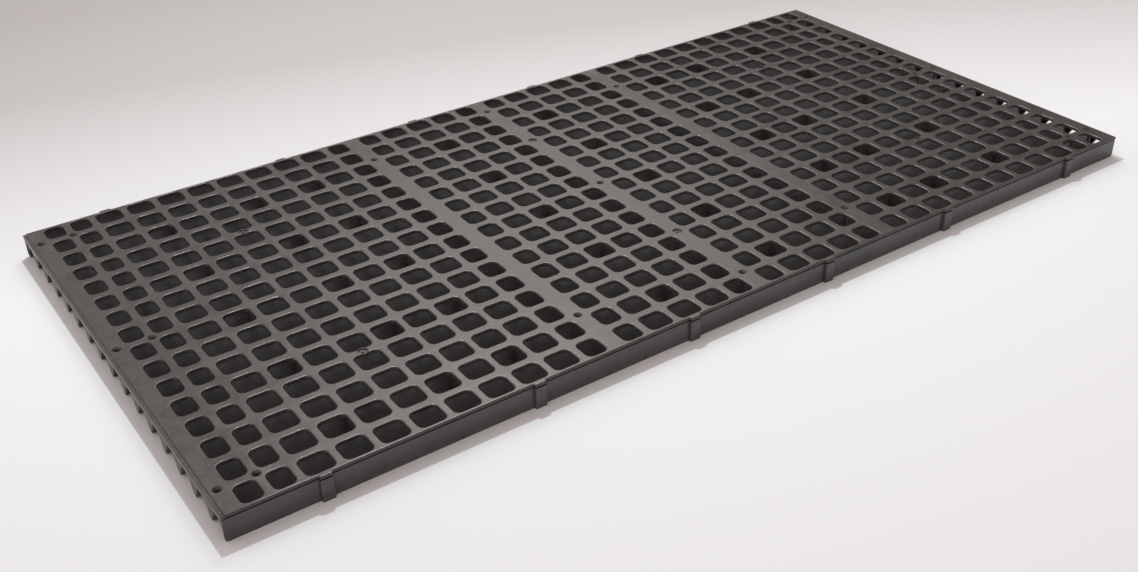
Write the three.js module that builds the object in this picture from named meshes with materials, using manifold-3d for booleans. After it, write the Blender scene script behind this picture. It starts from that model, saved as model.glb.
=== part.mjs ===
import * as THREE from 'three';
import { mergeVertices } from 'three/addons/utils/BufferGeometryUtils.js';
import Module from 'manifold-3d';

// Open-grid tray panel for a greenhouse bench: one rigid plastic moulding, shown here as the members
// that it is made of. Long ribs run along X and stand on the floor. Cross webs, wide bars and end
// plates run along Y and lie in notches in the ribs, so the deck on top is flush. Two long skirts
// close the sides, and a toothed wall under each end plate closes the ends between the rib feet.
// Millimetres, +Z up. The origin is the middle of the footprint, on the resting plane.

// Overall size
const panelLength = 1219;
const panelWidth = 596;
const panelHeight = 29;

// Deck
const deckThickness = 4;
const webWidth = 8.4;
const barSideWebWidth = 9.6;
const endWebWidth = 9;
const barWidth = 22;
const barCellTrim = 5.7;
const endCellTrim = 7.9;

// Ribs
const rowCount = 16;
const ribTopWidth = 9.9;
const ribFootWidth = 4.4;

// Ends
const endPlateWidth = 21.7;
const endRimDepth = 6.5;
const endLedgeWidth = 3.5;
const endLedgeDrop = 1.4;
const endSetBack = 1.5;
const endWallThickness = 3.2;
const toothTopWidth = 27.4;

// Skirts
const skirtTopWidth = 3.95;
const sideCellTrim = 1;
const skirtFootWidth = 2.4;
const skirtLipDepth = 3;
const skirtLipStep = 0.5;
const pilasterWidth = 13;
const pilasterDepth = 3;
const pilasterColumns = [3, 8, 14];

// Screw places and gussets
const screwHoleDiameter = 5.5;
const screwSeatDiameter = 9.4;
const screwSeatDepth = 2.2;
const screwBossDiameter = 12.6;
const gussetThickness = 3.6;
const gussetFootClearance = 4;
const gussetWebs = [2, 6, 8, 11];
const gussetRows = [2, 5, 8, 11, 14];

const fitGap = 0.3;
const cutOver = 2;
const circleSides = 12;

const { Manifold, Mesh } = await loadManifold();

async function loadManifold() {
  const wasm = await Module();
  wasm.setup();
  return wasm;
}

// Solids

function solidOf(geometry) {
  const bare = geometry.clone();
  bare.deleteAttribute('normal');
  bare.deleteAttribute('uv');
  const merged = mergeVertices(bare, 1e-4);
  const vertProperties = new Float32Array(merged.attributes.position.array);
  const triVerts = new Uint32Array(merged.index.array);
  return new Manifold(new Mesh({ numProp: 3, vertProperties, triVerts }));
}

function geometryOf(solid) {
  const mesh = solid.getMesh();
  const geometry = new THREE.BufferGeometry();
  geometry.setAttribute('position', new THREE.BufferAttribute(mesh.vertProperties, 3));
  geometry.setIndex(new THREE.BufferAttribute(mesh.triVerts, 1));
  geometry.computeVertexNormals();
  return geometry;
}

function box(x0, x1, y0, y1, z0, z1) {
  const geometry = new THREE.BoxGeometry(x1 - x0, y1 - y0, z1 - z0);
  geometry.translate((x0 + x1) / 2, (y0 + y1) / 2, (z0 + z1) / 2);
  return solidOf(geometry);
}

function cone(x, y, z0, z1, footDiameter, topDiameter) {
  const geometry = new THREE.CylinderGeometry(topDiameter / 2, footDiameter / 2, z1 - z0, circleSides);
  geometry.rotateX(Math.PI / 2);
  geometry.translate(x, y, (z0 + z1) / 2);
  return solidOf(geometry);
}

function drum(x, y, z0, z1, diameter) {
  return cone(x, y, z0, z1, diameter, diameter);
}

// A profile drawn across the panel, as (y, z) points, carried along X from x0 to x1.
function alongX(points, x0, x1) {
  const shape = new THREE.Shape(points.map(([y, z]) => new THREE.Vector2(y, z)));
  const geometry = new THREE.ExtrudeGeometry(shape, { depth: x1 - x0, bevelEnabled: false });
  const axisX = new THREE.Vector3(1, 0, 0);
  const axisY = new THREE.Vector3(0, 1, 0);
  const axisZ = new THREE.Vector3(0, 0, 1);
  geometry.applyMatrix4(new THREE.Matrix4().makeBasis(axisY, axisZ, axisX));
  geometry.translate(x0, 0, 0);
  return solidOf(geometry);
}

// Rows across the panel

const ribCount = rowCount - 1;
const rowsWidth = panelWidth - 2 * skirtTopWidth + 2 * sideCellTrim;
const cellWidth = (rowsWidth - ribCount * ribTopWidth) / rowCount;
const rowPitch = cellWidth + ribTopWidth;
const outerRib = (ribCount - 1) / 2;
const deckFloor = panelHeight - deckThickness;
const endRimFloor = panelHeight - endRimDepth;
const skirtInside = panelWidth / 2 - skirtTopWidth;
const endWallOutside = panelLength / 2 - endSetBack;
const endWallInside = endWallOutside - endWallThickness;

// The cells of the first and last rows are trimmed on the side next to the skirt.

function ribY(rib) {
  return rib * rowPitch;
}

function rowY(row) {
  return (row - (rowCount + 1) / 2) * rowPitch;
}

// Columns along the panel, counted outwards from the centre bar: five, the side bar, then eleven.
// The cells beside a bar and the two by the end are shorter than the rest.

const innerColumns = ['bar', 'full', 'full', 'full', 'bar'];
const outerColumns = ['bar', ...Array(8).fill('full'), 'end', 'end'];
const cellTrim = { full: 0, bar: barCellTrim, end: endCellTrim };

function webBetween(kind, nextKind) {
  if (kind === 'bar' || nextKind === 'bar') {
    return barSideWebWidth;
  }
  return kind === 'end' ? endWebWidth : webWidth;
}

function groupParts(columns) {
  const parts = [];
  columns.forEach((kind, index) => {
    parts.push({ part: 'cell', kind });
    if (index < columns.length - 1) {
      parts.push({ part: 'web', width: webBetween(kind, columns[index + 1]) });
    }
  });
  return parts;
}

const halfParts = [
  ...groupParts(innerColumns),
  { part: 'bar', width: barWidth },
  ...groupParts(outerColumns),
];
const memberTotal = halfParts.reduce((sum, item) => sum + (item.width ?? 0), 0);
const trimTotal = halfParts.reduce((sum, item) => sum + (item.kind ? cellTrim[item.kind] : 0), 0);
const columnCount = innerColumns.length + outerColumns.length;
const openLength = panelLength / 2 - barWidth / 2 - endPlateWidth - memberTotal + trimTotal;
const cellLength = openLength / columnCount;

function layOutHalf() {
  const columnCentres = [];
  const members = [];
  let edge = barWidth / 2;
  let web = 0;
  for (const item of halfParts) {
    const width = item.width ?? cellLength - cellTrim[item.kind];
    if (item.part === 'cell') {
      columnCentres.push(edge + width / 2);
    } else {
      web += item.part === 'web' ? 1 : 0;
      members.push({ part: item.part, web, x: edge + width / 2, width, screws: [] });
    }
    edge += width;
  }
  return { columnCentres, members };
}

const { columnCentres, members: halfMembers } = layOutHalf();
const webCount = halfMembers.filter((member) => member.part === 'web').length;

// Each member with its name, its span along X, and the ribs that it is screwed down through.

const screwRibs = [-outerRib, 0, outerRib];
const barScrewRibs = [1 - outerRib, outerRib - 1];
const twoDigits = (number) => String(number).padStart(2, '0');

function describeMember(member, side, sideName) {
  const isBar = member.part === 'bar';
  const isEndWeb = member.part === 'web' && member.web === webCount;
  return {
    name: isBar ? `${sideName}_bar` : `cross_web_${sideName}_${twoDigits(member.web)}`,
    x: side * member.x,
    width: member.width,
    screws: isBar ? barScrewRibs : isEndWeb ? screwRibs : [],
    gussets: !isBar && gussetWebs.includes(member.web) ? gussetRows : [],
  };
}

const members = [
  { name: 'centre_bar', x: 0, width: barWidth, screws: screwRibs, gussets: [] },
  ...halfMembers.map((member) => describeMember(member, -1, 'left')),
  ...halfMembers.map((member) => describeMember(member, 1, 'right')),
];
const endScrewX = endWallInside - fitGap - screwBossDiameter / 2;
const endPlateInside = panelLength / 2 - endPlateWidth;
const screwPlaces = [
  ...members.flatMap((member) => member.screws.map((rib) => ({ x: member.x, rib }))),
  ...[-1, 1].flatMap((side) => screwRibs.map((rib) => ({ x: side * endScrewX, rib }))),
];

function screwCut(x, y) {
  const hole = drum(x, y, -cutOver, panelHeight + cutOver, screwHoleDiameter);
  const seat = cone(x, y, panelHeight - screwSeatDepth, panelHeight, screwHoleDiameter, screwSeatDiameter);
  return hole.add(seat);
}

// A cross web or bar: a flat strip in the deck, with a round eye at each screw and its gussets below.
function crossMember(member) {
  const half = member.width / 2;
  let solid = box(member.x - half, member.x + half, -skirtInside, skirtInside, deckFloor, panelHeight);
  for (const row of member.gussets) {
    const y = rowY(row);
    const reach = cellWidth / 2 - fitGap;
    const thick = gussetThickness / 2;
    const top = deckFloor + deckThickness / 2;
    const plate = box(member.x - thick, member.x + thick, y - reach, y + reach, gussetFootClearance, top);
    solid = solid.add(plate);
  }
  for (const rib of member.screws) {
    solid = solid.add(drum(member.x, ribY(rib), deckFloor, panelHeight, screwBossDiameter));
    solid = solid.subtract(screwCut(member.x, ribY(rib)));
  }
  return solid;
}

// An end plate: the wide strip across the end, with a low ledge along its outer edge, a rim below that
// ledge, and the toothed wall that hangs from the rim.
function toothProfile(rib) {
  const y = ribY(rib);
  const top = endRimFloor + fitGap;
  const foot = ribFootWidth / 2;
  const head = Math.min(toothTopWidth, rowPitch - fitGap) / 2;
  return [[y - foot, 0], [y + foot, 0], [y + head, top], [y - head, top]];
}

function sideToothProfile(side) {
  const outside = skirtInside - fitGap;
  const foot = panelWidth / 2 - skirtLipStep - skirtFootWidth - ribFootWidth / 2;
  const head = panelWidth / 2 - toothTopWidth / 2;
  const top = endRimFloor + fitGap;
  const profile = [[foot, 0], [outside, 0], [outside, top], [head, top]];
  return side > 0 ? profile : profile.map(([y, z]) => [-y, z]).reverse();
}

function endLedgeCut(side) {
  const inner = panelLength / 2 - endLedgeWidth;
  const outer = panelLength / 2 + cutOver;
  const from = side > 0 ? inner : -outer;
  const to = side > 0 ? outer : -inner;
  const reach = panelWidth / 2 + cutOver;
  return box(from, to, -reach, reach, panelHeight - endLedgeDrop, panelHeight + cutOver);
}

function endPlate(side) {
  const from = side > 0 ? endPlateInside : -panelLength / 2;
  const to = side > 0 ? panelLength / 2 : -endPlateInside;
  const wallFrom = side > 0 ? endWallInside : -endWallOutside;
  const wallTo = side > 0 ? endWallOutside : -endWallInside;
  const rimFrom = side > 0 ? endWallInside : -panelLength / 2;
  const rimTo = side > 0 ? panelLength / 2 : -endWallInside;
  const rimReach = skirtInside - fitGap;
  let solid = box(from, to, -panelWidth / 2, panelWidth / 2, deckFloor, panelHeight);
  solid = solid.add(box(rimFrom, rimTo, -rimReach, rimReach, endRimFloor, deckFloor + fitGap));
  for (let rib = -outerRib; rib <= outerRib; rib += 1) {
    solid = solid.add(alongX(toothProfile(rib), wallFrom, wallTo));
  }
  solid = solid.add(alongX(sideToothProfile(-1), wallFrom, wallTo));
  solid = solid.add(alongX(sideToothProfile(1), wallFrom, wallTo));
  for (const rib of screwRibs) {
    solid = solid.subtract(screwCut(side * endScrewX, ribY(rib)));
  }
  return solid.subtract(endLedgeCut(side));
}

// The space that the deck members take out of a rib's top.
function deckNotches(y, halfWidth) {
  const reach = halfWidth + cutOver;
  const top = panelHeight + cutOver;
  const notches = members.map((member) => {
    const half = member.width / 2 + fitGap;
    return box(member.x - half, member.x + half, y - reach, y + reach, deckFloor, top);
  });
  return [...notches, ...endNotches(y, reach)];
}

function endNotches(y, reach) {
  const from = endPlateInside - fitGap;
  const to = panelLength / 2 + cutOver;
  const top = panelHeight + cutOver;
  return [
    box(from, to, y - reach, y + reach, deckFloor, top),
    box(-to, -from, y - reach, y + reach, deckFloor, top),
  ];
}

// A long rib: straight-sided through the deck, then tapering to its foot, with a boss at each screw.
function longRib(rib) {
  const y = ribY(rib);
  const top = ribTopWidth / 2;
  const foot = ribFootWidth / 2;
  const profile = [
    [y - foot, 0],
    [y + foot, 0],
    [y + top, deckFloor],
    [y + top, panelHeight],
    [y - top, panelHeight],
    [y - top, deckFloor],
  ];
  const bar = alongX(profile, -endWallInside, endWallInside);
  let solid = bar.subtract(Manifold.union(deckNotches(y, top)));
  for (const place of screwPlaces.filter((item) => item.rib === rib)) {
    const eye = drum(place.x, y, deckFloor, panelHeight + cutOver, screwBossDiameter + 2 * fitGap);
    solid = solid.subtract(eye);
    solid = solid.add(drum(place.x, y, 0, deckFloor, screwBossDiameter));
    solid = solid.subtract(drum(place.x, y, -cutOver, panelHeight, screwHoleDiameter));
  }
  return solid;
}

// A side skirt: a thin wall with a lip along its top edge and flat pilasters on its outer face.
function skirt(side) {
  const lip = panelWidth / 2;
  const face = lip - skirtLipStep;
  const profile = [
    [skirtInside, panelHeight],
    [skirtInside, deckFloor],
    [face - skirtFootWidth, 0],
    [face, 0],
    [face, panelHeight - skirtLipDepth],
    [lip, panelHeight - skirtLipDepth],
    [lip, panelHeight],
  ];
  const points = side > 0 ? profile : profile.map(([y, z]) => [-y, z]).reverse();
  let solid = alongX(points, -endWallOutside, endWallOutside);
  const outer = lip + pilasterDepth;
  for (const column of pilasterColumns) {
    for (const end of [-1, 1]) {
      const x = end * columnCentres[column - 1];
      const from = side > 0 ? face - skirtFootWidth / 2 : -outer;
      const to = side > 0 ? outer : skirtFootWidth / 2 - face;
      solid = solid.add(box(x - pilasterWidth / 2, x + pilasterWidth / 2, from, to, 0, panelHeight));
    }
  }
  return solid.subtract(Manifold.union(endNotches(side * lip, pilasterDepth + skirtTopWidth)));
}

// Assembly

const plastic = new THREE.MeshStandardMaterial({ color: 0x3b3836, roughness: 0.5, metalness: 0 });
const panel = new THREE.Group();

function place(name, solid) {
  const mesh = new THREE.Mesh(geometryOf(solid), plastic.clone());
  mesh.name = name;
  panel.add(mesh);
}

for (let rib = -outerRib; rib <= outerRib; rib += 1) {
  place(`long_rib_${twoDigits(rib + outerRib + 1)}`, longRib(rib));
}
for (const member of members) {
  place(member.name, crossMember(member));
}
place('end_plate_left', endPlate(-1));
place('end_plate_right', endPlate(1));
place('side_skirt_front', skirt(-1));
place('side_skirt_back', skirt(1));

export default panel;
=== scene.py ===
"""Open-grid tray panel for a greenhouse bench: the finished look of one black plastic moulding.

The deck is cut from flat sheet, one strip for each cross web, bar and end plate. A strip runs from
the middle of the openings on its left to the middle of those on its right, so its seams fall where
the rib tops are straight. Ribs, skirts, end teeth and gussets stand below the deck. Metres, +Z up.
"""

import math

import bmesh
import bpy
from mathutils import Matrix, Vector


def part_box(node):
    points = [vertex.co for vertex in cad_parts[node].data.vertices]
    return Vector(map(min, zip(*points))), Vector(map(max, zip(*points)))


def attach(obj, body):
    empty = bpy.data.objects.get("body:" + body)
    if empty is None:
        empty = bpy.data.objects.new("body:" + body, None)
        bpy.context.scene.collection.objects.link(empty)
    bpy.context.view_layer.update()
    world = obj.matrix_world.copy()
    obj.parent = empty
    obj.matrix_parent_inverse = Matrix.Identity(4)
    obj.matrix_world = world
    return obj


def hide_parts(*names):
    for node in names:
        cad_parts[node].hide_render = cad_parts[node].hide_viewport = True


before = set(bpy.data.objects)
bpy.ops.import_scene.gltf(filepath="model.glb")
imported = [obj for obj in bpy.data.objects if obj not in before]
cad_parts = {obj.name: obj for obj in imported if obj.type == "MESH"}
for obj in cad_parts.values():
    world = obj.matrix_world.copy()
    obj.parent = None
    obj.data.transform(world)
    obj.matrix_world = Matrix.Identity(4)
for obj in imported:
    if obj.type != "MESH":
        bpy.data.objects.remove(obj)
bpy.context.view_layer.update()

MM = 0.001

# Tolerances, and how far a cutter goes past what it cuts
NEAR = 1e-6
SAME_PLACE = 1e-7
CUT_OVERLAP = 1.0 * MM
FIT_GAP = 0.3 * MM
SMALL_STEPS = 2
SHARP_ANGLE = math.radians(47)

# Deck
CORNER_RADIUS = 6.0 * MM
CORNER_STEPS = 3
OPENING_FILLET = 1.4 * MM
OUTER_FILLET = 1.0 * MM
FILLET_STEPS = 2
END_WEB_WIDTH = 9.0 * MM
LIP_UNDERCUT = 1.1 * MM

# End plates and their toothed walls
END_RIM_DEPTH = 6.5 * MM
END_LEDGE_WIDTH = 3.5 * MM
END_LEDGE_DROP = 1.4 * MM
END_LEDGE_FILLET = 0.6 * MM
END_WALL_SETBACK = 1.5 * MM
END_WALL_THICKNESS = 3.2 * MM
TOOTH_TOP = 27.4 * MM
ARCH_RADIUS = 3.0 * MM
ARCH_STEPS = 3
ARCH_CROWN = 0.8 * MM

# Ribs
RIB_FOOT = 4.4 * MM
FOOT_RADIUS = 1.3 * MM

# Skirts: the pilasters' columns are counted from 1 outwards from the centre
SKIRT_LIP = 0.5 * MM
SKIRT_GROOVE_DEPTH = 1.3 * MM
SKIRT_GROOVE_HEIGHT = 0.9 * MM
SKIRT_FOOT = 2.4 * MM
SKIRT_END_RADIUS = 3.5 * MM
SKIRT_END_STEPS = 3
PILASTER_WIDTH = 13.0 * MM
PILASTER_FILLET = 1.2 * MM
PILASTER_COLUMNS = (3, 8, 14)

# Screw places: the ribs are counted from 0 at the front
SCREW_HOLE = 5.5 * MM
SCREW_SEAT = 9.4 * MM
SCREW_SEAT_DEPTH = 2.2 * MM
BOSS = 12.6 * MM
ROUND_STEPS = 24
OUTER_AND_MIDDLE_RIBS = (0, 7, 14)
SIDE_BAR_RIBS = (1, 13)

# Gate marks: a ring-shaped recess round a small nub, its column and ribs counted as above
GATE_PAD = 12.0 * MM
GATE_PAD_CHAMFER = 0.4 * MM
GATE_RECESS = 9.6 * MM
GATE_EDGE = 0.3 * MM
GATE_NUB = 3.6 * MM
GATE_NUB_SHOULDER = 0.9 * MM
GATE_NUB_EDGE_DROP = 0.25 * MM
GATE_NUB_TIP_DROP = 0.2 * MM
GATE_DEPTH = 1.6 * MM
GATE_COLUMN = 11
GATE_RIBS = (3, 11)

# Gussets: the rows are counted from 1 at the front
GUSSET_FOOT = 7.0 * MM
GUSSET_TOP = 8.4 * MM
GUSSET_EMBED = 0.2 * MM
GUSSET_ROWS = (2, 5, 8, 11, 14)

# Colours
# The deck and the side pieces are one plastic. The deck's copy is darker and the ribs' and skirts' copy
# is paler: painted shade and painted light.
DECK_SHADED_DARK = (0.031, 0.028, 0.0267)
DECK_SHADED_PALE = (0.056, 0.0505, 0.0478)
SIDE_LIT_DARK = (0.05, 0.046, 0.0455)
SIDE_LIT_PALE = (0.078, 0.072, 0.0715)
DUST_COLOUR = (0.16, 0.15, 0.145)
# The floor's three colours paint shade: the paper greys from the front to the back where the light falls
# off.
FLOOR_FRONT_LIT = (0.69, 0.7, 0.71)
FLOOR_MIDDLE_SHADED = (0.4, 0.387, 0.384)
FLOOR_BACK_SHADED = (0.35, 0.33, 0.333)
ROOM_DIM = (0.16, 0.14, 0.137)
ROOM_BRIGHT = (1.0, 0.89, 0.86)

# Floor, light and camera
FLOOR_REACH = 20.0
ROOM_LIGHT = 0.95
KEY_LIGHT = 34
STRIP_LIGHT = 7
SOFTBOX_LIGHT = 14
CAMERA_PLACE = (-0.82365, -1.14458, 0.76156)
CAMERA_RIGHT = (0.81386, -0.58087, -0.01464)
CAMERA_UP = (0.31819, 0.42444, 0.84771)
CAMERA_BACK = (-0.48619, -0.69458, 0.53026)
CAMERA_LENS = 40.88
CAMERA_SENSOR = 36.0
CAMERA_SHIFT = -0.0158

# What the frame says

rib_nodes = [f"long_rib_{number:02d}" for number in range(1, 16)]
skirt_nodes = ["side_skirt_front", "side_skirt_back"]


def middle(node):
    low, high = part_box(node)
    return (low + high) / 2


deck_nodes = sorted(set(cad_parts) - set(rib_nodes) - set(skirt_nodes), key=lambda n: middle(n).x)
deck_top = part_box("left_bar")[1].z
deck_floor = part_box("left_bar")[0].z
rim_floor = deck_top - END_RIM_DEPTH
ledge_top = deck_top - END_LEDGE_DROP
panel_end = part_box("end_plate_right")[1].x
deck_end = panel_end - END_LEDGE_WIDTH
panel_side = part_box("end_plate_left")[1].y
lip_inside = panel_side - 1.5 * PILASTER_FILLET
pilaster_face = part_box("side_skirt_back")[1].y
skirt_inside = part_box("left_bar")[1].y
plain_rib_low, plain_rib_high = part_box("long_rib_04")
rib_width = plain_rib_high.y - plain_rib_low.y
rib_ys = [middle(node).y for node in rib_nodes]
row_pitch = rib_ys[1] - rib_ys[0]
row_ys = [rib_ys[0] + row_pitch * (row - 0.5) for row in range(len(rib_ys) + 1)]
end_plate_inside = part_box("end_plate_right")[0].x
wall_outside = panel_end - END_WALL_SETBACK
wall_inside = wall_outside - END_WALL_THICKNESS
end_screw_x = wall_inside - FIT_GAP - BOSS / 2


def deck_span(node):
    """Where a deck member starts and ends along X, without the round eyes of its screws."""
    low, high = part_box(node)
    if node.startswith("cross_web") and node.endswith("_14"):
        return middle(node).x - END_WEB_WIDTH / 2, middle(node).x + END_WEB_WIDTH / 2
    return low.x, high.x


spans = [deck_span(node) for node in deck_nodes]
column_xs = [(spans[i][1] + spans[i + 1][0]) / 2 for i in range(len(spans) - 1)]
half_columns = column_xs[len(column_xs) // 2 :]
pilaster_xs = [side * half_columns[column - 1] for column in PILASTER_COLUMNS for side in (-1, 1)]

# Black plastic


def nodes_of(material):
    material.use_nodes = True
    tree = material.node_tree
    return tree.nodes, tree.links, tree.nodes["Principled BSDF"]


def add_node(nodes, kind, **values):
    node = nodes.new(kind)
    for key, value in values.items():
        if hasattr(node, key):
            setattr(node, key, value)
        else:
            node.inputs[key].default_value = value
    return node


def map_range(nodes, links, source, span, to):
    """The source's value, with the two ends of the span moved to the two values of to."""
    node = nodes.new("ShaderNodeMapRange")
    node.inputs["From Min"].default_value, node.inputs["From Max"].default_value = span
    node.inputs["To Min"].default_value, node.inputs["To Max"].default_value = to
    links.new(source, node.inputs["Value"])
    return node.outputs["Result"]


def colour_socket(sockets, name):
    """The colour socket of that name on a Mix node, which has one for each kind of value."""
    return [socket for socket in sockets if socket.name == name and socket.type == "RGBA"][0]


def black_plastic(name, dark, pale):
    """Moulded plastic that clouds slowly from the dark shade to the pale one."""
    material = bpy.data.materials.new(name)
    nodes, links, shader = nodes_of(material)
    place = nodes.new("ShaderNodeTexCoord").outputs["Object"]

    # Slow cloudy change of shade where the melt cooled
    cloud = add_node(nodes, "ShaderNodeTexNoise", Scale=26.0, Detail=7.0, Roughness=0.68)
    links.new(place, cloud.inputs["Vector"])

    # Streaks drawn out along the ribs by the flow of the melt
    stretch = nodes.new("ShaderNodeMapping")
    stretch.inputs["Scale"].default_value = (14.0, 150.0, 150.0)
    links.new(place, stretch.inputs["Vector"])
    streak = add_node(nodes, "ShaderNodeTexNoise", Scale=1.0, Detail=4.0, Roughness=0.55)
    links.new(stretch.outputs["Vector"], streak.inputs["Vector"])

    # Fine grain of the mould's surface
    grain = add_node(nodes, "ShaderNodeTexNoise", Scale=900.0, Detail=3.0, Roughness=0.7)
    links.new(place, grain.inputs["Vector"])

    # Fine pale dust specks
    specks = add_node(nodes, "ShaderNodeTexNoise", Scale=420.0, Detail=1.0, Roughness=0.4)
    links.new(place, specks.inputs["Vector"])
    dust = map_range(nodes, links, specks.outputs["Fac"], span=(0.66, 0.74), to=(0.0, 0.5))

    shade = nodes.new("ShaderNodeValToRGB")
    shade.color_ramp.elements[0].position = 0.3
    shade.color_ramp.elements[0].color = (*dark, 1.0)
    shade.color_ramp.elements[1].position = 0.7
    shade.color_ramp.elements[1].color = (*pale, 1.0)
    links.new(cloud.outputs["Fac"], shade.inputs["Fac"])
    dusted = add_node(nodes, "ShaderNodeMix", data_type="RGBA")
    links.new(dust, dusted.inputs["Factor"])
    links.new(shade.outputs["Color"], colour_socket(dusted.inputs, "A"))
    colour_socket(dusted.inputs, "B").default_value = (*DUST_COLOUR, 1.0)
    links.new(colour_socket(dusted.outputs, "Result"), shader.inputs["Base Color"])

    # The streaks and clouds change the gloss
    streak_gloss = map_range(nodes, links, streak.outputs["Fac"], span=(0.3, 0.7), to=(-0.02, 0.02))
    cloud_gloss = map_range(nodes, links, cloud.outputs["Fac"], span=(0.3, 0.7), to=(0.2, 0.36))
    gloss = add_node(nodes, "ShaderNodeMath", operation="ADD")
    links.new(streak_gloss, gloss.inputs[0])
    links.new(cloud_gloss, gloss.inputs[1])
    links.new(gloss.outputs["Value"], shader.inputs["Roughness"])

    grain_bump = add_node(nodes, "ShaderNodeBump", Strength=0.08, Distance=0.0002)
    links.new(grain.outputs["Fac"], grain_bump.inputs["Height"])
    streak_bump = add_node(nodes, "ShaderNodeBump", Strength=0.03, Distance=0.0004)
    links.new(streak.outputs["Fac"], streak_bump.inputs["Height"])
    links.new(grain_bump.outputs["Normal"], streak_bump.inputs["Normal"])
    links.new(streak_bump.outputs["Normal"], shader.inputs["Normal"])
    return material


# Lit and shaded copies of one plastic: the darker copy on the deck paints shade, the paler copy on the
# ribs and skirts paints light.
shaded_deck_plastic = black_plastic("black_plastic_shaded_copy", DECK_SHADED_DARK, DECK_SHADED_PALE)
lit_side_plastic = black_plastic("black_plastic_lit_copy", SIDE_LIT_DARK, SIDE_LIT_PALE)

# Making pieces


def link_mesh(bm, name):
    mesh = bpy.data.meshes.new(name)
    bm.to_mesh(mesh)
    bm.free()
    piece = bpy.data.objects.new(name, mesh)
    bpy.context.scene.collection.objects.link(piece)
    return piece


def combine(piece, other, operation):
    """Joins the other object to the piece, or cuts it out of the piece, and takes the other away.

    Corners that the join leaves almost on top of each other are merged.
    """
    modifier = piece.modifiers.new(operation.lower(), "BOOLEAN")
    modifier.operation = operation
    modifier.solver = "EXACT"
    modifier.object = other
    bpy.context.view_layer.update()
    evaluated = piece.evaluated_get(bpy.context.evaluated_depsgraph_get())
    made = bpy.data.meshes.new_from_object(evaluated)
    clean = bmesh.new()
    clean.from_mesh(made)
    bmesh.ops.remove_doubles(clean, verts=clean.verts[:], dist=2 * NEAR)
    bmesh.ops.dissolve_degenerate(clean, edges=clean.edges[:], dist=NEAR)
    clean.to_mesh(made)
    clean.free()
    piece.modifiers.clear()
    old = piece.data
    piece.data = made
    bpy.data.meshes.remove(old)
    bpy.data.objects.remove(other)
    return piece


def finish_piece(piece, node, plastic):
    """Gives the piece its plastic and its shading, and puts it in place of its CAD node."""
    piece.name = f"{node}_moulded"
    piece.data.materials.clear()
    piece.data.materials.append(plastic)
    for polygon in piece.data.polygons:
        polygon.material_index = 0
        polygon.use_smooth = True
    piece.data.set_sharp_from_angle(angle=SHARP_ANGLE)
    weighted = piece.modifiers.new("flat_faces", "WEIGHTED_NORMAL")
    weighted.keep_sharp = True
    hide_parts(node)
    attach(piece, "root")


def round_corners(bm, corners, radius, steps):
    bmesh.ops.bevel(
        bm,
        geom=corners,
        offset=radius,
        offset_type="OFFSET",
        segments=steps,
        profile=0.5,
        affect="VERTICES",
        clamp_overlap=False,
        material=-1,
    )


def round_edges(bm, edges, radius, steps=FILLET_STEPS):
    bmesh.ops.bevel(
        bm,
        geom=edges,
        offset=radius,
        offset_type="OFFSET",
        segments=steps,
        profile=0.5,
        affect="EDGES",
        clamp_overlap=False,
        material=-1,
    )


def thicken(bm, direction):
    """Draws the flat outline out into a closed solid."""
    drawn = bmesh.ops.extrude_face_region(bm, geom=bm.faces[:], use_keep_orig=True)
    new_verts = [item for item in drawn["geom"] if isinstance(item, bmesh.types.BMVert)]
    bmesh.ops.translate(bm, verts=new_verts, vec=direction)
    bmesh.ops.recalc_face_normals(bm, faces=bm.faces[:])


def outline_face(bm, points):
    return bm.faces.new([bm.verts.new(point) for point in points])


def prism_along_x(points, low_x, high_x, foot_radius=0.0):
    """A closed bar from low_x to high_x with the outline (y, z). Corners on the floor are rounded."""
    bm = bmesh.new()
    outline_face(bm, [(low_x, y, z) for y, z in points])
    if foot_radius:
        feet = [vert for vert in bm.verts if abs(vert.co.z) < NEAR]
        round_corners(bm, feet, foot_radius, SMALL_STEPS)
    thicken(bm, Vector((high_x - low_x, 0, 0)))
    return bm


def turned(profile, centre_x, centre_y):
    """A closed turned shape about a vertical axis, from its outline (radius, z)."""
    bm = bmesh.new()
    verts = [bm.verts.new((radius, 0, z)) for radius, z in profile]
    edges = [bm.edges.new((verts[i], verts[i + 1])) for i in range(len(verts) - 1)]
    if profile[0][0] > 0:
        edges.append(bm.edges.new((verts[-1], verts[0])))
    bmesh.ops.spin(
        bm,
        geom=verts + edges,
        cent=(0, 0, 0),
        axis=(0, 0, 1),
        angle=2 * math.pi,
        steps=ROUND_STEPS,
        use_merge=True,
    )
    bmesh.ops.remove_doubles(bm, verts=bm.verts[:], dist=SAME_PLACE)
    bmesh.ops.recalc_face_normals(bm, faces=bm.faces[:])
    bmesh.ops.translate(bm, verts=bm.verts[:], vec=(centre_x, centre_y, 0))
    return bm


def merge_shapes(shapes):
    """Several bmesh shapes in one."""
    whole = bmesh.new()
    for shape in shapes:
        part = bpy.data.meshes.new("part")
        shape.to_mesh(part)
        shape.free()
        whole.from_mesh(part)
        bpy.data.meshes.remove(part)
    return whole


def add_shapes(piece, shapes):
    """Adds closed shapes to a piece that they touch."""
    start = bmesh.new()
    start.from_mesh(piece.data)
    whole = merge_shapes([start, *shapes])
    whole.to_mesh(piece.data)
    whole.free()


# The deck


def in_opening(x, y, span):
    """True over an opening: beside the member along X, and between two ribs along Y."""
    beside = not span[0] < x < span[1]
    over_rib = any(abs(y - rib_y) < rib_width / 2 for rib_y in rib_ys)
    return beside and not over_rib and abs(y) < skirt_inside


def in_pilaster(x):
    return any(abs(x - pilaster_x) < PILASTER_WIDTH / 2 for pilaster_x in pilaster_xs)


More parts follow.
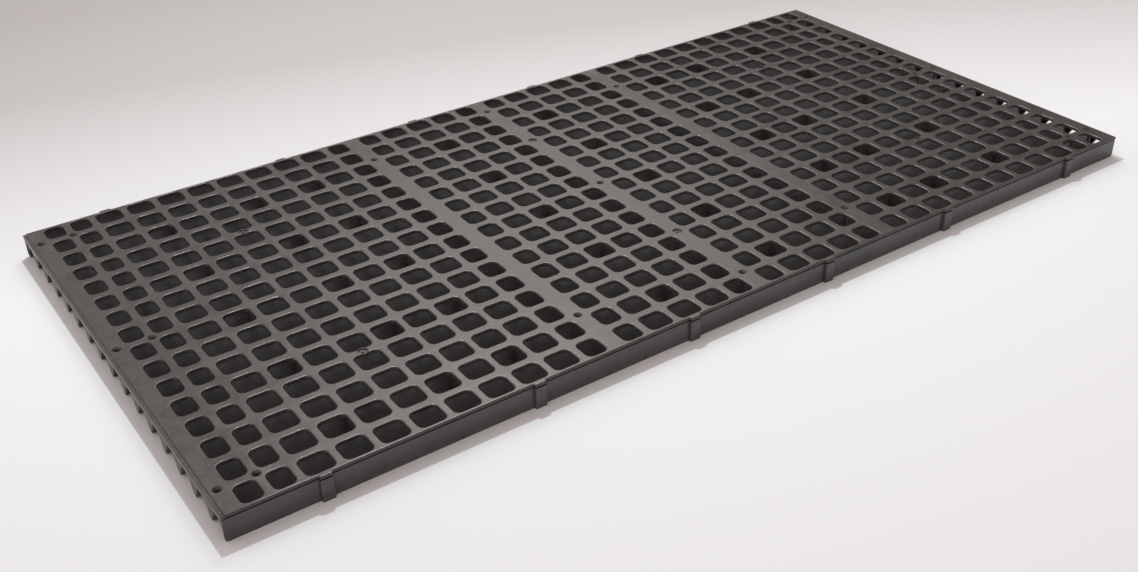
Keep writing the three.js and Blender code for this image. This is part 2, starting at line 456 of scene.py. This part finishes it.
def cut_lines(span, low_x, high_x):
    """Where the sheet is scored, along X and along Y."""
    x_lines = [x for x in span if low_x < x < high_x]
    for pilaster_x in pilaster_xs:
        for side in (-1, 1):
            line = pilaster_x + side * PILASTER_WIDTH / 2
            if low_x < line < high_x:
                x_lines.append(line)
    y_lines = [-panel_side, -skirt_inside, skirt_inside, panel_side]
    for rib_y in rib_ys:
        y_lines += [rib_y - rib_width / 2, rib_y + rib_width / 2]
    return x_lines, y_lines


def score(bm, point, normal):
    everything = bm.verts[:] + bm.edges[:] + bm.faces[:]
    bmesh.ops.bisect_plane(bm, geom=everything, dist=SAME_PLACE, plane_co=point, plane_no=normal)


def deck_sheet(span, low_x, high_x):
    """The flat outline of one strip of the deck, with its openings cut and their corners rounded."""
    bm = bmesh.new()
    bmesh.ops.create_grid(bm, x_segments=1, y_segments=1, size=0.5)
    size = Vector((high_x - low_x, 2 * pilaster_face, 1))
    bmesh.ops.scale(bm, verts=bm.verts[:], vec=size)
    bmesh.ops.translate(bm, verts=bm.verts[:], vec=((low_x + high_x) / 2, 0, deck_top))
    x_lines, y_lines = cut_lines(span, low_x, high_x)
    for x in x_lines:
        score(bm, (x, 0, 0), (1, 0, 0))
    for y in y_lines:
        score(bm, (0, y, 0), (0, 1, 0))
    waste = []
    for face in bm.faces:
        centre = face.calc_center_median()
        outside = abs(centre.y) > panel_side and not in_pilaster(centre.x)
        if outside or in_opening(centre.x, centre.y, span):
            waste.append(face)
    bmesh.ops.delete(bm, geom=waste, context="FACES")
    bmesh.ops.dissolve_faces(bm, faces=bm.faces[:], use_verts=False)
    straight = [v for v in bm.verts if len(v.link_edges) == 2 and v.calc_edge_angle() < 0.01]
    bmesh.ops.dissolve_verts(bm, verts=straight)
    off_seam = [v for v in bm.verts if min(abs(v.co.x - low_x), abs(v.co.x - high_x)) >= NEAR]
    inner = [v for v in off_seam if abs(v.co.y) < skirt_inside + NEAR]
    outer = [v for v in off_seam if abs(v.co.y) > panel_side - NEAR]
    round_corners(bm, inner, CORNER_RADIUS, CORNER_STEPS)
    round_corners(bm, outer, PILASTER_FILLET, SMALL_STEPS)
    for y in row_ys:
        score(bm, (0, y, 0), (0, 1, 0))
    return bm


def undercut_lip(bm):
    """Slopes the lower outer edge of the lip, where the groove over the skirt begins."""
    edges = []
    for edge in bm.edges:
        low = all(abs(vert.co.z - deck_floor) < NEAR for vert in edge.verts)
        outside = all(abs(vert.co.y) > lip_inside for vert in edge.verts)
        upright = any(abs(face.normal.x) + abs(face.normal.y) > 0.5 for face in edge.link_faces)
        if low and outside and upright:
            edges.append(edge)
    round_edges(bm, edges, LIP_UNDERCUT, 1)


def deck_strip(node, span, low_x, high_x):
    """One closed strip of the deck, with its upper edges eased."""
    bm = deck_sheet(span, low_x, high_x)
    thicken(bm, Vector((0, 0, deck_floor - deck_top)))
    opening_edges = []
    outer_edges = []
    for edge in bm.edges:
        ends = [vert.co for vert in edge.verts]
        if any(abs(co.z - deck_top) > NEAR for co in ends):
            continue
        if not any(abs(face.normal.z) < 0.5 for face in edge.link_faces):
            continue
        if any(all(abs(co.x - seam) < NEAR for co in ends) for seam in (low_x, high_x)):
            if all(abs(abs(co.x) - deck_end) > NEAR for co in ends):
                continue
        outside = all(abs(co.y) > lip_inside for co in ends)
        at_end = all(abs(co.x) > deck_end - NEAR for co in ends)
        (outer_edges if outside or at_end else opening_edges).append(edge)
    round_edges(bm, opening_edges, OPENING_FILLET)
    outer_edges = [edge for edge in outer_edges if edge.is_valid]
    round_edges(bm, outer_edges, OUTER_FILLET)
    undercut_lip(bm)
    return link_mesh(bm, node + "_strip")


def screw_cutter(x, y):
    """A cutter for one screw hole and its countersunk seat, a little long at both ends."""
    seat = SCREW_SEAT / 2
    hole = SCREW_HOLE / 2
    profile = [
        (0, -CUT_OVERLAP),
        (hole, -CUT_OVERLAP),
        (hole, deck_top - SCREW_SEAT_DEPTH),
        (seat, deck_top),
        (seat + CUT_OVERLAP, deck_top + CUT_OVERLAP),
        (0, deck_top + CUT_OVERLAP),
    ]
    return turned(profile, x, y)


def screw_xys(node):
    """Where this deck member is screwed down."""
    if node.startswith("end_plate"):
        side = 1 if node.endswith("right") else -1
        return [(side * end_screw_x, rib_ys[rib]) for rib in OUTER_AND_MIDDLE_RIBS]
    if node == "centre_bar" or node.endswith("_14"):
        return [(middle(node).x, rib_ys[rib]) for rib in OUTER_AND_MIDDLE_RIBS]
    if node.endswith("_bar"):
        return [(middle(node).x, rib_ys[rib]) for rib in SIDE_BAR_RIBS]
    return []


def drill_screws(piece, node):
    """Cuts this deck member's screw holes, with their countersunk seats, through a piece."""
    screws = screw_xys(node)
    if screws:
        cutters = link_mesh(merge_shapes([screw_cutter(*xy) for xy in screws]), node + "_screws")
        combine(piece, cutters, "DIFFERENCE")


gate_xs = (-half_columns[GATE_COLUMN - 1], 0.0, half_columns[GATE_COLUMN - 1])
gate_xys = [(x, rib_ys[rib]) for x in gate_xs for rib in GATE_RIBS]


def gate_pad(x, y):
    """A round pad where the melt went in: a ring-shaped recess round a small nub."""
    pad = GATE_PAD / 2
    recess = GATE_RECESS / 2
    nub = GATE_NUB / 2
    floor_z = deck_top - GATE_DEPTH
    profile = [
        (0, deck_floor),
        (pad, deck_floor),
        (pad, deck_top - GATE_PAD_CHAMFER),
        (pad - GATE_PAD_CHAMFER, deck_top),
        (recess + GATE_EDGE, deck_top),
        (recess, deck_top - GATE_EDGE),
        (recess - GATE_EDGE, floor_z),
        (nub, floor_z),
        (nub - GATE_EDGE, floor_z + GATE_NUB_SHOULDER),
        (nub / 2, deck_top - GATE_NUB_EDGE_DROP),
        (0, deck_top - GATE_NUB_TIP_DROP),
    ]
    return turned(profile, x, y)


def fit_gates(strip, low_x, high_x):
    """Makes room in a strip for its gate pads, and gives back those that it holds.

    A pad on a seam takes room from both strips and is held by the one on its right.
    """
    held = [xy for xy in gate_xys if low_x - NEAR < xy[0] < high_x + NEAR]
    if not held:
        return []
    plug_top = deck_top + CUT_OVERLAP
    plug = [(0, 0), (GATE_PAD / 2, 0), (GATE_PAD / 2, plug_top), (0, plug_top)]
    cutters = merge_shapes([turned(plug, *xy) for xy in held])
    combine(strip, link_mesh(cutters, "gate_cutters"), "DIFFERENCE")
    return [gate_pad(*xy) for xy in held if xy[0] < high_x - NEAR]


# Below the deck


def gussets(node):
    """Thin plates under a web, each filling the gap between two ribs down to just above the floor."""
    low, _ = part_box(node)
    if low.z > deck_floor - NEAR or not node.startswith("cross_web"):
        return []
    x = middle(node).x
    half_top = (row_pitch - rib_width) / 2 + GUSSET_EMBED
    half_foot = (row_pitch - RIB_FOOT) / 2 + GUSSET_EMBED
    half_low = half_foot + (half_top - half_foot) * low.z / deck_floor
    top = deck_floor + GUSSET_EMBED
    shapes = []
    for row in GUSSET_ROWS:
        y = row_ys[row - 1]
        left, right = (y - half_low, low.z), (y + half_low, low.z)
        outline = [left, right, (y + half_top, top), (y - half_top, top)]
        shape = prism_along_x(outline, x - GUSSET_TOP / 2, x + GUSSET_TOP / 2)
        feet = [vert for vert in shape.verts if vert.co.z < top - GUSSET_EMBED]
        narrow = Vector((GUSSET_FOOT / GUSSET_TOP, 1, 1))
        bmesh.ops.scale(shape, verts=feet, vec=narrow, space=Matrix.Translation((-x, 0, 0)))
        shapes.append(shape)
    return shapes


def end_teeth(side):
    """The wall below an end plate: feet that widen upwards, with an arch between each two."""
    bm = bmesh.new()
    crown = rim_floor - ARCH_CROWN
    foot = RIB_FOOT / 2
    head = TOOTH_TOP / 2
    edge = panel_side - SKIRT_LIP - SKIRT_FOOT / 2
    inner_foot = edge - SKIRT_FOOT / 2 - foot
    points = [(-edge, rim_floor), (-edge, 0), (-inner_foot, 0), (-panel_side + head, crown)]
    for y in rib_ys:
        points += [(y - head, crown), (y - foot, 0), (y + foot, 0), (y + head, crown)]
    points += [(panel_side - head, crown), (inner_foot, 0), (edge, 0), (edge, rim_floor)]
    low_x = wall_inside if side > 0 else -wall_outside
    outline_face(bm, [(low_x, y, z) for y, z in points])
    arches = [v for v in bm.verts if abs(v.co.z - crown) < NEAR]
    round_corners(bm, arches, ARCH_RADIUS, ARCH_STEPS)
    feet = [v for v in bm.verts if v.co.z < NEAR and abs(v.co.y) < inner_foot + NEAR]
    round_corners(bm, feet, FOOT_RADIUS, SMALL_STEPS)
    thicken(bm, Vector((END_WALL_THICKNESS, 0, 0)))
    return bm


def end_rim(side):
    """The ledge along the outer edge of an end plate, and the rim below it that carries the teeth."""
    ledge = bmesh.new()
    heights = (deck_floor, deck_floor, ledge_top, ledge_top)
    corners = list(zip((deck_end, panel_end, panel_end, deck_end), heights))
    outline_face(ledge, [(side * x, -panel_side, z) for x, z in corners])
    thicken(ledge, Vector((0, 2 * panel_side, 0)))
    outer = [e for e in ledge.edges if all(v.co.z > ledge_top - NEAR for v in e.verts)]
    outer = [e for e in outer if all(abs(v.co.x) > panel_end - NEAR for v in e.verts)]
    round_edges(ledge, outer, END_LEDGE_FILLET)
    inner_y = panel_side - SKIRT_LIP - SKIRT_FOOT / 2
    outline = [(-inner_y, rim_floor), (inner_y, rim_floor), (inner_y, deck_floor), (-inner_y, deck_floor)]
    low_x, high_x = (wall_inside, panel_end) if side > 0 else (-panel_end, -wall_inside)
    return [ledge, prism_along_x(outline, low_x, high_x)]


def long_rib(node):
    """A rib that narrows to a rounded foot, with a drilled round boss under each of its screws."""
    y = middle(node).y
    foot = RIB_FOOT / 2
    top = rib_width / 2
    outline = [(y - foot, 0), (y + foot, 0), (y + top, deck_floor), (y - top, deck_floor)]
    shape = prism_along_x(outline, -wall_inside, wall_inside, FOOT_RADIUS)
    rib = link_mesh(shape, node + "_bar")
    screws = [xy for member in deck_nodes for xy in screw_xys(member) if abs(xy[1] - y) < NEAR]
    if screws:
        boss = [(0, 0), (BOSS / 2, 0), (BOSS / 2, deck_floor), (0, deck_floor)]
        bosses = link_mesh(merge_shapes([turned(boss, *xy) for xy in screws]), node + "_bosses")
        combine(rib, bosses, "UNION")
        below = -CUT_OVERLAP
        hole = [(0, below), (SCREW_HOLE / 2, below), (SCREW_HOLE / 2, deck_top), (0, deck_top)]
        holes = link_mesh(merge_shapes([turned(hole, *xy) for xy in screws]), node + "_holes")
        combine(rib, holes, "DIFFERENCE")
    return rib


def side_skirt(side):
    """A skirt with a groove below the lip, six pilasters, and plain ends with rounded toes."""
    face = panel_side - SKIRT_LIP
    groove_floor = deck_floor - SKIRT_GROOVE_HEIGHT
    outline = [
        (skirt_inside, deck_floor),
        (face - SKIRT_FOOT, 0),
        (face, 0),
        (face, groove_floor),
        (face - SKIRT_GROOVE_DEPTH, groove_floor),
        (face - SKIRT_GROOVE_DEPTH, deck_floor),
    ]
    skirt_end = panel_end - FIT_GAP
    shape = prism_along_x([(side * y, z) for y, z in outline], -skirt_end, skirt_end)
    toe_edges = []
    for edge in shape.edges:
        first, second = [vert.co for vert in edge.verts]
        if abs(first.x - second.x) < NEAR and max(first.z, second.z) < NEAR:
            toe_edges.append(edge)
    round_edges(shape, toe_edges, SKIRT_END_RADIUS, SKIRT_END_STEPS)
    skirt = link_mesh(shape, "skirt")
    pilasters = []
    half = PILASTER_WIDTH / 2
    back = face - SKIRT_FOOT / 2
    for x in pilaster_xs:
        bm = bmesh.new()
        left, right = x - half, x + half
        corners = [(left, back), (right, back), (right, pilaster_face), (left, pilaster_face)]
        outline_face(bm, [(px, side * py, 0) for px, py in corners])
        outer = [v for v in bm.verts if abs(abs(v.co.y) - pilaster_face) < NEAR]
        round_corners(bm, outer, PILASTER_FILLET, SMALL_STEPS)
        thicken(bm, Vector((0, 0, groove_floor)))
        pilasters.append(bm)
    return combine(skirt, link_mesh(merge_shapes(pilasters), "pilasters"), "UNION")


# Put together

for index, node in enumerate(deck_nodes):
    low_x = column_xs[index - 1] if index > 0 else -deck_end
    high_x = column_xs[index] if index < len(column_xs) else deck_end
    strip = deck_strip(node, spans[index], low_x, high_x)
    drill_screws(strip, node)
    below = fit_gates(strip, low_x, high_x) + gussets(node)
    if node.startswith("end_plate"):
        side = 1 if node.endswith("right") else -1
        below += [*end_rim(side), end_teeth(side)]
    add_shapes(strip, below)
    finish_piece(strip, node, shaded_deck_plastic)

for node in rib_nodes:
    finish_piece(long_rib(node), node, lit_side_plastic)

for node in skirt_nodes:
    finish_piece(side_skirt(1 if node.endswith("back") else -1), node, lit_side_plastic)

# Floor


def floor_material():
    """Matt white paper, greyer towards the back and a little towards the right: painted shade where the
    light falls off.
    """
    material = bpy.data.materials.new("pale_floor_painted_falloff")
    nodes, links, shader = nodes_of(material)
    place = nodes.new("ShaderNodeTexCoord").outputs["Object"]
    depth = add_node(nodes, "ShaderNodeVectorMath", operation="DOT_PRODUCT")
    depth.inputs[1].default_value = (0.3, 1.0, 0.0)
    links.new(place, depth.inputs[0])
    # Painted shade: the floor's colour darkens from the front to the back.
    shade = nodes.new("ShaderNodeValToRGB")
    shade.color_ramp.elements[0].color = (*FLOOR_FRONT_LIT, 1.0)
    shade.color_ramp.elements[1].color = (*FLOOR_BACK_SHADED, 1.0)
    shade.color_ramp.elements.new(0.62).color = (*FLOOR_MIDDLE_SHADED, 1.0)
    links.new(depth.outputs["Value"], shade.inputs["Fac"])
    links.new(shade.outputs["Color"], shader.inputs["Base Color"])
    shader.inputs["Roughness"].default_value = 0.9
    shader.inputs["Specular IOR Level"].default_value = 0.2
    return material


floor_bm = bmesh.new()
bmesh.ops.create_grid(floor_bm, x_segments=1, y_segments=1, size=FLOOR_REACH)
floor = link_mesh(floor_bm, "floor")
floor.data.materials.append(floor_material())

# Light


def soft_room():
    """Soft warm light, brightest overhead and on the left, and dim low on the right."""
    world = bpy.data.worlds.new("soft_room")
    world.use_nodes = True
    nodes = world.node_tree.nodes
    links = world.node_tree.links
    direction = nodes.new("ShaderNodeTexCoord").outputs["Generated"]
    tilt = add_node(nodes, "ShaderNodeVectorMath", operation="DOT_PRODUCT")
    tilt.inputs[1].default_value = (-0.45, 0.1, 0.85)
    links.new(direction, tilt.inputs[0])
    height = map_range(nodes, links, tilt.outputs["Value"], span=(0.0, 0.65), to=(0.0, 1.0))
    shade = nodes.new("ShaderNodeValToRGB")
    shade.color_ramp.elements[0].color = (*ROOM_DIM, 1.0)
    shade.color_ramp.elements[1].color = (*ROOM_BRIGHT, 1.0)
    links.new(height, shade.inputs["Fac"])
    links.new(shade.outputs["Color"], nodes["Background"].inputs["Color"])
    nodes["Background"].inputs["Strength"].default_value = ROOM_LIGHT
    return world


bpy.context.scene.world = soft_room()


def area_light(name, place, aim, size, power, colour):
    light = bpy.data.lights.new(name, "AREA")
    light.shape = "DISK"
    light.size = size
    light.energy = power
    light.color = colour
    lamp = bpy.data.objects.new(name, light)
    bpy.context.scene.collection.objects.link(lamp)
    lamp.location = place
    lamp.rotation_mode = "QUATERNION"
    lamp.rotation_quaternion = (Vector(aim) - Vector(place)).to_track_quat("-Z", "Y")


area_light("key", (0.17, 0.88, 2.2), (0, 0, 0), 0.12, KEY_LIGHT, (0.88, 0.97, 1.0))
area_light("strip", (0.8, 1.35, 2.05), (0, 0, 0), 0.35, STRIP_LIGHT, (1.0, 0.95, 0.9))
area_light("softbox", (1.2, 1.9, 1.97), (0, 0, 0), 1.9, SOFTBOX_LIGHT, (1.0, 0.94, 0.9))

# Camera

camera_data = bpy.data.cameras.new("camera")
camera_data.lens = CAMERA_LENS
camera_data.sensor_width = CAMERA_SENSOR
camera_data.shift_x = CAMERA_SHIFT
camera_data.clip_end = 50
camera = bpy.data.objects.new("camera", camera_data)
bpy.context.scene.collection.objects.link(camera)
turn = Matrix((CAMERA_RIGHT, CAMERA_UP, CAMERA_BACK)).transposed()
camera.matrix_world = Matrix.Translation(CAMERA_PLACE) @ turn.to_4x4()
bpy.context.scene.camera = camera
bpy.context.scene.view_settings.view_transform = "Standard"
